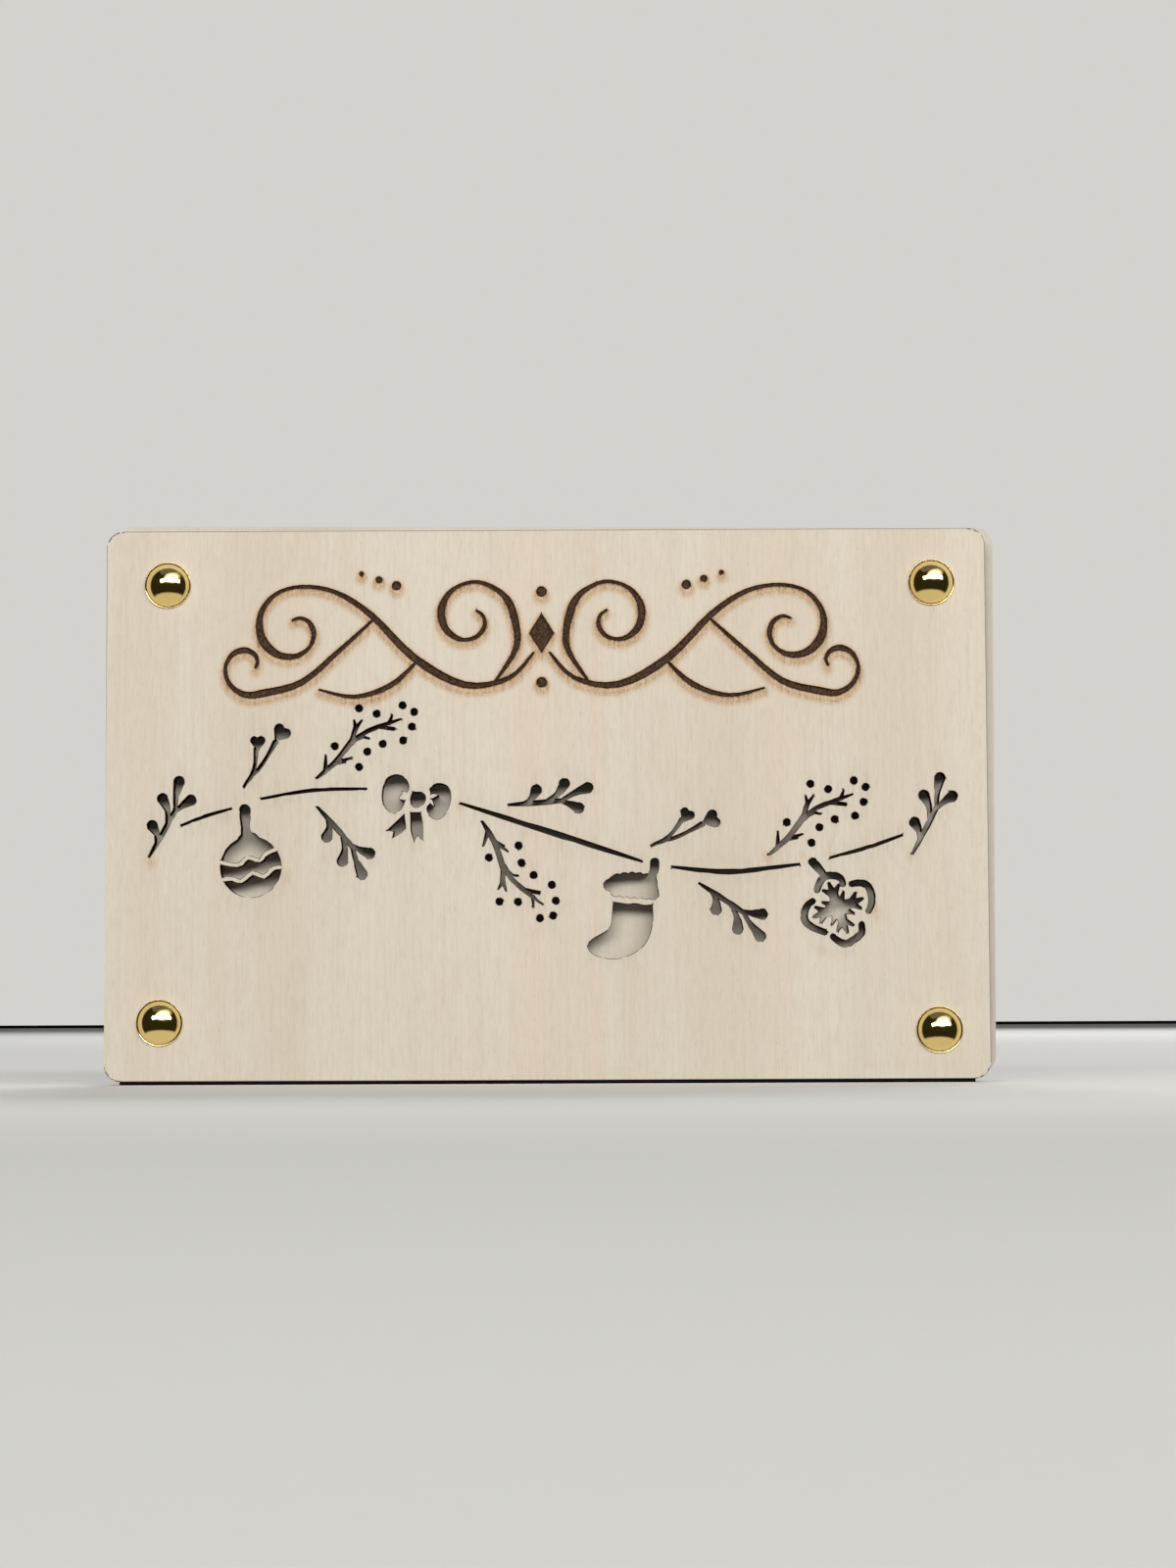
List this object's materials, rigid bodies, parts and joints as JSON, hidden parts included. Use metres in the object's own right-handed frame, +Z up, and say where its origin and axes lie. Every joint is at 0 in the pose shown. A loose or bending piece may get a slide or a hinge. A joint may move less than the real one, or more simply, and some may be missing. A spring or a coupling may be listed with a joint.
{
  "type": "gift card holder",
  "caption": "Flat gift card holder of two thin plywood boards, the front one cut out with a winter garland, pinned at the corners by round-headed brass paper fasteners with bent legs.",
  "frame": {"origin": "middle of the front board's bottom edge, halfway through its thickness, where it stands on the table", "axes": "+X to the viewer's right along the boards, +Y from the decorated front towards the back, +Z up"},
  "size_m": [0.1619, 0.01, 0.1014],
  "materials": {
    "veneer": "bare sanded birch veneer, scorched at laser cuts",
    "plywood_core": "bare birch core, brown at laser cuts",
    "brass_cap": "polished",
    "brass_strip": "bright"
  },
  "bodies": {
    "front_board": {"front_face_veneer": "veneer", "front_core": "plywood_core", "front_inner_veneer": "veneer"},
    "back_board": {"back_inner_veneer": "veneer", "back_core": "plywood_core", "back_rear_veneer": "veneer"},
    "fastener_tl": {"cap_tl": "brass_cap", "prong_tl": "brass_strip"},
    "long_leg_tl": {"long_leg_tl": "brass_strip"},
    "short_leg_tl": {"short_leg_tl": "brass_strip"},
    "fastener_tr": {"cap_tr": "brass_cap", "prong_tr": "brass_strip"},
    "long_leg_tr": {"long_leg_tr": "brass_strip"},
    "short_leg_tr": {"short_leg_tr": "brass_strip"},
    "fastener_bl": {"cap_bl": "brass_cap", "prong_bl": "brass_strip"},
    "long_leg_bl": {"long_leg_bl": "brass_strip"},
    "short_leg_bl": {"short_leg_bl": "brass_strip"},
    "fastener_br": {"cap_br": "brass_cap", "prong_br": "brass_strip"},
    "long_leg_br": {"long_leg_br": "brass_strip"},
    "short_leg_br": {"short_leg_br": "brass_strip"}
  },
  "joints": [
    {"name": "slot_open", "type": "slide", "parent": "front_board", "child": "back_board", "axis": [0, 1, 0], "range_m": [0, 0.0006]},
    {"name": "swivel_tl", "type": "hinge", "parent": "front_board", "child": "fastener_tl", "pos_m": [-0.06885, 0, 0.0901], "axis": [0, 1, 0], "continuous": true},
    {"name": "bend_long_tl", "type": "hinge", "parent": "fastener_tl", "child": "long_leg_tl", "pos_m": [-0.06872, 0.0056, 0.09021], "axis": [-0.6691, 0, 0.7431], "range_deg": [0, 90]},
    {"name": "bend_short_tl", "type": "hinge", "parent": "fastener_tl", "child": "short_leg_tl", "pos_m": [-0.06898, 0.0056, 0.08998], "axis": [0.6691, 0, -0.7431], "range_deg": [0, 90]},
    {"name": "swivel_tr", "type": "hinge", "parent": "front_board", "child": "fastener_tr", "pos_m": [0.07021, 0, 0.0901], "axis": [0, 1, 0], "continuous": true},
    {"name": "bend_long_tr", "type": "hinge", "parent": "fastener_tr", "child": "long_leg_tr", "pos_m": [0.07032, 0.0056, 0.08996], "axis": [0.766, 0, 0.6428], "range_deg": [0, 90]},
    {"name": "bend_short_tr", "type": "hinge", "parent": "fastener_tr", "child": "short_leg_tr", "pos_m": [0.07009, 0.0056, 0.09023], "axis": [-0.766, 0, -0.6428], "range_deg": [0, 90]},
    {"name": "swivel_bl", "type": "hinge", "parent": "front_board", "child": "fastener_bl", "pos_m": [-0.07, 0, 0.01061], "axis": [0, 1, 0], "continuous": true},
    {"name": "bend_long_bl", "type": "hinge", "parent": "fastener_bl", "child": "long_leg_bl", "pos_m": [-0.06986, 0.0056, 0.0105], "axis": [0.6157, 0, 0.788], "range_deg": [0, 90]},
    {"name": "bend_short_bl", "type": "hinge", "parent": "fastener_bl", "child": "short_leg_bl", "pos_m": [-0.07014, 0.0056, 0.01071], "axis": [-0.6157, 0, -0.788], "range_deg": [0, 90]},
    {"name": "swivel_br", "type": "hinge", "parent": "front_board", "child": "fastener_br", "pos_m": [0.0708, 0, 0.00885], "axis": [0, 1, 0], "continuous": true},
    {"name": "bend_long_br", "type": "hinge", "parent": "fastener_br", "child": "long_leg_br", "pos_m": [0.07092, 0.0056, 0.00898], "axis": [-0.7314, 0, 0.682], "range_deg": [0, 90]},
    {"name": "bend_short_br", "type": "hinge", "parent": "fastener_br", "child": "short_leg_br", "pos_m": [0.07068, 0.0056, 0.00872], "axis": [0.7314, 0, -0.682], "range_deg": [0, 90]}
  ]
}
